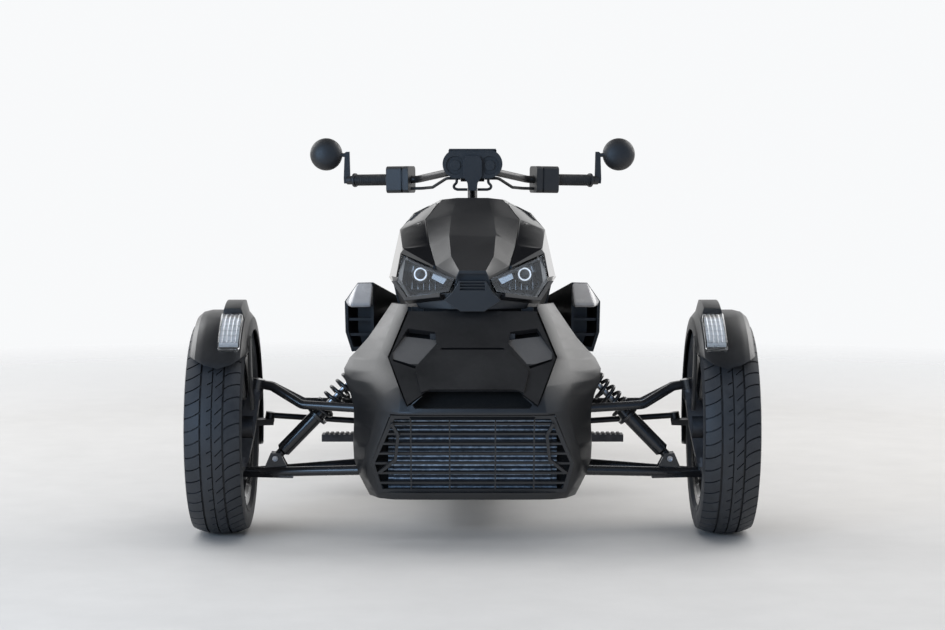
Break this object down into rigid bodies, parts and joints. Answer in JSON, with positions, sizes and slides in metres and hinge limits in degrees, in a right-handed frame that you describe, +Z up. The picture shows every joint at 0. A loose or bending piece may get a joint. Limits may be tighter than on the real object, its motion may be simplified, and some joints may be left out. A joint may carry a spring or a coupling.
{
  "type": "reverse_trike",
  "caption": "Black open reverse trike with two front wheels on exposed arms, wheel-following fenders, a low pointed nose, handlebar steering and one wide rear wheel.",
  "frame": {"origin": "centre of the bounding box's underside, on the ground between the wheels", "axes": "+X toward the rider's left, -Y forward, +Z up"},
  "size_m": [1.509, 2.352, 1.081],
  "materials": {
    "frame_paint": "satin black paint",
    "arm_paint": "satin black paint",
    "satin_plastic": "fine-grained satin black",
    "gloss_plastic": "gloss black",
    "control_plastic": "moulded black",
    "mirror_shell": "moulded black",
    "bar_paint": "satin black paint",
    "seat_skin": "grained black cover",
    "tyre_rubber": "dull rubber",
    "rim_paint": "painted black",
    "disc_steel": "turned",
    "lamp_glass": "clear",
    "tail_lamp_red": "clear red",
    "engine_metal": "cast, painted dark",
    "radiator_metal": "finned core",
    "shock_steel": "satin black paint",
    "exhaust_steel": "heat-darkened",
    "peg_metal": "cast, black"
  },
  "bodies": {
    "chassis": {"frame": "frame_paint", "engine": "engine_metal", "drive_cover": "satin_plastic", "radiator": "radiator_metal", "grille": "satin_plastic", "nose_shell": "satin_plastic", "hood": "satin_plastic", "cowl": "satin_plastic", "lamp_carrier": "satin_plastic", "headlamp_lenses": "lamp_glass", "centre_louvre": "satin_plastic", "side_panels": "gloss_plastic", "tank_cover": "satin_plastic", "seat": "seat_skin", "tail_section": "satin_plastic", "air_ducts": "satin_plastic", "side_covers": "satin_plastic", "belly_pan": "satin_plastic", "upper_arms": "arm_paint", "lower_arms": "arm_paint", "front_shocks": "shock_steel", "swingarm": "frame_paint", "rear_shock": "shock_steel", "rear_fender": "satin_plastic", "tail_lamps": "tail_lamp_red", "exhaust": "exhaust_steel", "footpegs": "peg_metal", "brake_pedal": "peg_metal"},
    "knuckle_left": {"knuckle_left": "arm_paint", "fender_left": "satin_plastic", "turn_lamp_left": "lamp_glass"},
    "knuckle_right": {"knuckle_right": "arm_paint", "fender_right": "satin_plastic", "turn_lamp_right": "lamp_glass"},
    "wheel_front_left": {"tyre_front_left": "tyre_rubber", "rim_front_left": "rim_paint", "disc_front_left": "disc_steel"},
    "wheel_front_right": {"tyre_front_right": "tyre_rubber", "rim_front_right": "rim_paint", "disc_front_right": "disc_steel"},
    "wheel_rear": {"tyre_rear": "tyre_rubber", "rim_rear": "rim_paint", "disc_rear": "disc_steel"},
    "steering": {"steering_column": "bar_paint", "handlebar": "bar_paint", "hand_controls": "control_plastic", "control_leads": "control_plastic", "dash": "satin_plastic", "mirrors": "mirror_shell"},
    "tie_rod_left": {"tie_rod_left": "arm_paint"},
    "tie_rod_right": {"tie_rod_right": "arm_paint"}
  },
  "joints": [
    {"name": "handlebar_turn", "type": "hinge", "parent": "chassis", "child": "steering", "pos_m": [0, -0.374, 0.936], "axis": [0, 0.6, 0.8], "range_deg": [-32, 32]},
    {"name": "knuckle_left_turn", "type": "hinge", "parent": "chassis", "child": "knuckle_left", "pos_m": [0.628, -0.886, 0.196], "axis": [-0.192, 0, 0.9814], "range_deg": [-27.2, 27.2]},
    {"name": "knuckle_right_turn", "type": "hinge", "parent": "chassis", "child": "knuckle_right", "pos_m": [-0.628, -0.886, 0.196], "axis": [0.192, 0, 0.9814], "range_deg": [-27.2, 27.2]},
    {"name": "wheel_front_left_spin", "type": "hinge", "parent": "knuckle_left", "child": "wheel_front_left", "pos_m": [0.6795, -0.886, 0.29], "axis": [1, 0, 0], "continuous": true},
    {"name": "wheel_front_right_spin", "type": "hinge", "parent": "knuckle_right", "child": "wheel_front_right", "pos_m": [-0.6795, -0.886, 0.29], "axis": [1, 0, 0], "continuous": true},
    {"name": "wheel_rear_spin", "type": "hinge", "parent": "chassis", "child": "wheel_rear", "pos_m": [0, 0.823, 0.303], "axis": [1, 0, 0], "continuous": true},
    {"name": "tie_rod_left_turn", "type": "hinge", "parent": "knuckle_left", "child": "tie_rod_left", "pos_m": [0.56058, -0.791, 0.30101], "axis": [-0.192, 0, 0.9814], "range_deg": [-29.7, 29.7]},
    {"name": "tie_rod_right_turn", "type": "hinge", "parent": "knuckle_right", "child": "tie_rod_right", "pos_m": [-0.56058, -0.791, 0.30101], "axis": [0.192, 0, 0.9814], "range_deg": [-29.7, 29.7]}
  ],
  "couplings": [
    {"joint": "knuckle_left_turn", "follows": "handlebar_turn", "ratio": 0.85},
    {"joint": "knuckle_right_turn", "follows": "handlebar_turn", "ratio": 0.85},
    {"joint": "tie_rod_left_turn", "follows": "handlebar_turn", "ratio": -0.927},
    {"joint": "tie_rod_right_turn", "follows": "handlebar_turn", "ratio": -0.927}
  ]
}
